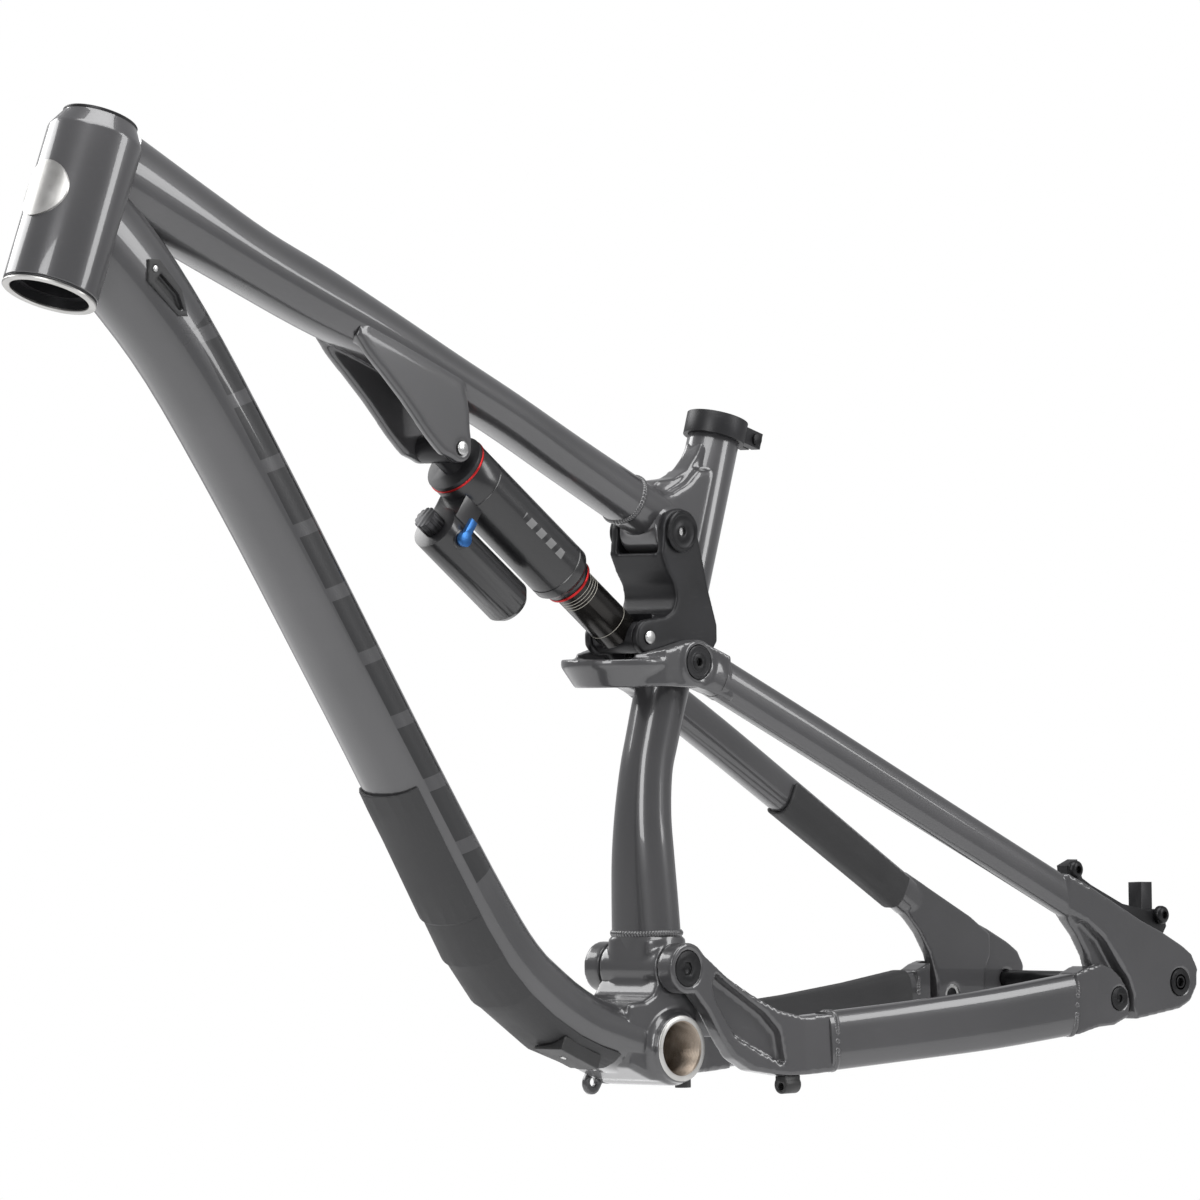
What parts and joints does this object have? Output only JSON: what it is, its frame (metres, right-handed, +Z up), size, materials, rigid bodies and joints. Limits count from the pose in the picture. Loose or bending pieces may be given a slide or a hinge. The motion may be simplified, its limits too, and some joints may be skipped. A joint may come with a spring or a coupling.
{
  "type": "full-suspension bicycle frame",
  "caption": "Full-suspension mountain-bike frame with a four-bar rear end, rocker link, air shock with reservoir, guards and pivot hardware.",
  "frame": {"origin": "centre of the bottom bracket shell", "axes": "+X forward, +Y to the rider's left, +Z up, with the frame standing as it does on a bike"},
  "size_m": [1.013, 0.1815, 0.6519],
  "materials": {
    "grey_paint": "gloss",
    "black_anodised": "satin",
    "bare_alloy": "satin",
    "steel": "satin",
    "black_steel": "satin",
    "black_rubber": "matte",
    "black_plastic": "matte",
    "red_anodised": "satin",
    "blue_anodised": "satin",
    "grey_anodised": "satin",
    "shaft_coat": "gloss"
  },
  "bodies": {
    "frame": {"head_tube": "grey_paint", "lower_headset_cup": "bare_alloy", "upper_headset_cup": "black_anodised", "head_badge": "bare_alloy", "top_tube": "grey_paint", "shock_mount_yoke": "grey_paint", "down_tube": "grey_paint", "upper_seat_tube": "grey_paint", "lower_seat_tube": "grey_paint", "seat_tube_gusset": "grey_paint", "bb_forging": "grey_paint", "bb_shell": "bare_alloy", "main_pivot_housing": "grey_paint", "rocker_pivot_housing": "grey_paint", "iscg_mount": "grey_paint", "down_tube_guard": "black_rubber", "cable_port_covers": "black_plastic", "cable_exit_cover": "black_plastic", "cable_cover_screws": "steel", "drain_plug": "black_rubber", "seat_clamp": "black_anodised", "seat_clamp_bolt": "steel", "main_pivot_bearings": "steel", "rocker_axle": "steel", "rocker_pivot_caps": "black_anodised", "shock_upper_bolt": "steel"},
    "chainstay": {"chainstay_yoke": "grey_paint", "left_chainstay": "grey_paint", "right_chainstay": "grey_paint", "left_chainstay_end": "grey_paint", "right_chainstay_end": "grey_paint", "main_pivot_axle": "steel", "main_pivot_bolts": "black_steel", "horst_bolts": "black_steel", "chainstay_guard": "black_rubber", "cable_clip": "black_plastic"},
    "seatstay": {"seatstay_yoke": "grey_paint", "left_seatstay": "grey_paint", "right_seatstay": "grey_paint", "left_dropout": "grey_paint", "right_dropout": "grey_paint", "flip_chips": "black_anodised", "seatstay_pivot_bolts": "black_steel", "horst_bearings": "steel", "derailleur_hanger": "black_anodised", "rear_axle": "black_steel", "seatstay_guard": "black_rubber", "brake_adapter": "black_anodised", "brake_adapter_bolts": "black_steel"},
    "rocker": {"rocker_link": "black_anodised", "rocker_bearings": "steel", "shock_lower_bolts": "steel"},
    "shock_body": {"shock_head": "black_anodised", "air_can": "black_anodised", "shock_accent_rings": "red_anodised", "reservoir": "black_anodised"},
    "shock_shaft": {"shock_shaft": "shaft_coat", "shock_lower_eye": "black_anodised"},
    "lockout_lever": {"lockout_lever": "blue_anodised"},
    "adjuster_dial": {"adjuster_dial": "grey_anodised"}
  },
  "joints": [
    {"name": "main_pivot", "type": "hinge", "parent": "frame", "child": "chainstay", "pos_m": [-0.003, 0, 0.053], "axis": [0, 1, 0], "range_deg": [0, 17.5], "stiffness_Nm_per_rad": 60, "springref_deg": -5.73},
    {"name": "horst_pivot", "type": "hinge", "parent": "chainstay", "child": "seatstay", "pos_m": [-0.38011, 0, 0.019], "axis": [0, -1, 0], "range_deg": [0, 2.6]},
    {"name": "rocker_pivot", "type": "hinge", "parent": "frame", "child": "rocker", "pos_m": [-0.018, 0, 0.343], "axis": [0, -1, 0], "range_deg": [0, 37.6]},
    {"name": "shock_upper_pivot", "type": "hinge", "parent": "frame", "child": "shock_body", "pos_m": [0.181, 0, 0.399], "axis": [0, 1, 0], "range_deg": [0, 0.702]},
    {"name": "shock_travel", "type": "slide", "parent": "shock_body", "child": "shock_shaft", "axis": [0.8, 0, 0.6], "range_m": [0, 0.0509]},
    {"name": "lockout_turn", "type": "hinge", "parent": "shock_body", "child": "lockout_lever", "pos_m": [0.1782, 0, 0.3394], "axis": [0, 1, 0], "range_deg": [0, 40]},
    {"name": "dial_turn", "type": "hinge", "parent": "shock_body", "child": "adjuster_dial", "pos_m": [0.1957, 0, 0.3544], "axis": [0.8, 0, 0.6], "range_deg": [0, 300]}
  ],
  "couplings": [
    {"joint": "horst_pivot", "follows": "main_pivot", "ratio": 0.148},
    {"joint": "rocker_pivot", "follows": "main_pivot", "ratio": 2.147},
    {"joint": "shock_upper_pivot", "follows": "main_pivot", "ratio": 0.04},
    {"joint": "shock_travel", "follows": "main_pivot", "m_per_rad": 0.1666}
  ]
}
